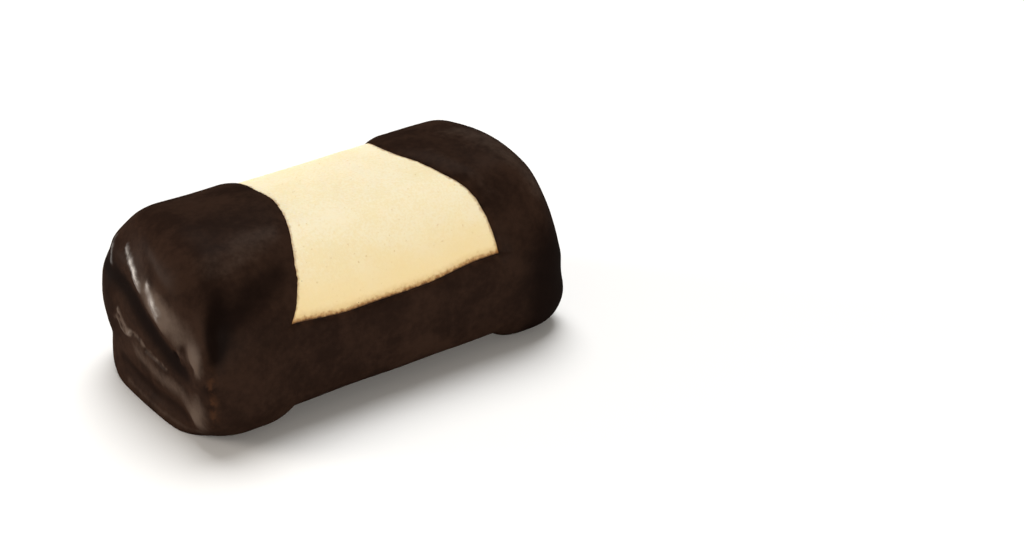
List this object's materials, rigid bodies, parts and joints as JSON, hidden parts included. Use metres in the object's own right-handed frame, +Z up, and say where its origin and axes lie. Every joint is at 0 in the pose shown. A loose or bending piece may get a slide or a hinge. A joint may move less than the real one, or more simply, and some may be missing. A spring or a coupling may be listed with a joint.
{
  "type": "chocolate-dipped marzipan cake",
  "caption": "Small uncut cake bar wrapped in pale marzipan, its base, lower sides and both ends dipped in dark chocolate, with a bare window across the top.",
  "frame": {"origin": "on the surface the cake rests on, under the middle of its bounding box", "axes": "+X along the bar from the creased end to the plain end, +Z up; the side the picture shows faces -Y"},
  "size_m": [0.0709, 0.0408, 0.0303],
  "materials": {
    "marzipan": "pale cream marzipan, matt and fine grained",
    "chocolate": "dark chocolate with a soft sheen"
  },
  "bodies": {
    "root": {"marzipan_cake": "marzipan", "chocolate_coat": "chocolate"}
  },
  "joints": []
}
